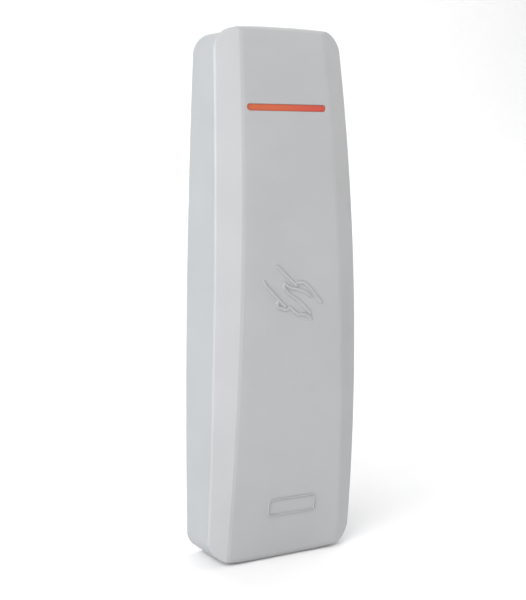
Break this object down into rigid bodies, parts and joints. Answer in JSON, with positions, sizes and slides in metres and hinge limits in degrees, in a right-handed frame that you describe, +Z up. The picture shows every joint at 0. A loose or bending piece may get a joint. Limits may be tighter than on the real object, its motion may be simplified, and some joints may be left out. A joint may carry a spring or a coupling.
{
  "type": "rfid card reader",
  "caption": "Slim wall-mounted proximity card reader: bowed tapering cover with a light bar, hooked on a screwed rear housing.",
  "frame": {"origin": "on the wall face of the rear housing, on its centre line, at the height where the cover bows out the most", "axes": "+Z up along the reader, +Y into the wall, the front faces -Y"},
  "size_m": [0.0476, 0.0226, 0.1524],
  "materials": {
    "housing_plastic": "fine matte light grey ABS",
    "cover_plastic": "fine matte light grey ABS",
    "light_plastic": "frosted orange-red diffuser",
    "board_laminate": "green solder mask on glass-fibre laminate",
    "white_plastic": "matte white",
    "led_package": "white package with clear lens",
    "copper_wire": "enamelled copper winding",
    "chip_resin": "matte black moulding with tinned leads",
    "bright_steel": "bright plated steel",
    "can_aluminium": "bright aluminium can",
    "resistor_ceramic": "black ceramic with tinned ends",
    "capacitor_ceramic": "tan ceramic with tinned ends",
    "black_plastic": "matte black plastic",
    "terminal_plastic": "matte green nylon",
    "grommet_rubber": "soft black rubber",
    "plunger_plastic": "natural acetal"
  },
  "bodies": {
    "base": {"antenna_coil": "copper_wire", "board_screws": "bright_steel", "buzzer": "black_plastic", "cable_grommet": "grommet_rubber", "chip_capacitors": "capacitor_ceramic", "chip_resistors": "resistor_ceramic", "coil_former": "white_plastic", "config_header": "black_plastic", "crystal": "bright_steel", "electrolytic_capacitors": "can_aluminium", "header_pins": "bright_steel", "jumper_cap": "black_plastic", "led_baffle": "white_plastic", "main_board": "board_laminate", "microcontroller": "chip_resin", "reader_ic": "chip_resin", "rear_housing": "housing_plastic", "status_leds": "led_package", "tamper_spring": "bright_steel", "tamper_switch": "black_plastic", "terminal_block": "terminal_plastic", "terminal_screws": "bright_steel", "voltage_regulator": "chip_resin"},
    "cover": {"front_cover": "cover_plastic", "light_guide": "light_plastic"},
    "lock_screw": {"lock_screw": "bright_steel"},
    "lock_nut": {"lock_nut": "bright_steel"},
    "tamper_plunger": {"tamper_plunger": "plunger_plastic"},
    "tamper_button": {"tamper_button": "plunger_plastic"}
  },
  "joints": [
    {"name": "cover_tilt", "type": "hinge", "parent": "base", "child": "cover", "pos_m": [0, -0.00985, 0.0732], "axis": [-1, 0, 0], "range_deg": [0, 25]},
    {"name": "lock_screw_turn", "type": "hinge", "parent": "base", "child": "lock_screw", "pos_m": [0, -0.0074, -0.07], "axis": [0, 0, -1], "range_deg": [0, 360]},
    {"name": "lock_nut_lift", "type": "slide", "parent": "base", "child": "lock_nut", "axis": [0, 0, 1], "range_m": [0, 0.0005]},
    {"name": "tamper_plunge", "type": "slide", "parent": "base", "child": "tamper_plunger", "axis": [0, 1, 0], "range_m": [0, 0.002], "stiffness_N_per_m": 150, "springref_m": 0.003, "deforming": ["tamper_spring"]},
    {"name": "tamper_button_press", "type": "slide", "parent": "base", "child": "tamper_button", "axis": [0, 1, 0], "range_m": [0, 0.00025]}
  ],
  "couplings": [
    {"joint": "lock_screw_turn", "follows": "lock_nut_lift", "rad_per_m": 12566},
    {"joint": "tamper_button_press", "follows": "tamper_plunge", "ratio": 0.125}
  ]
}
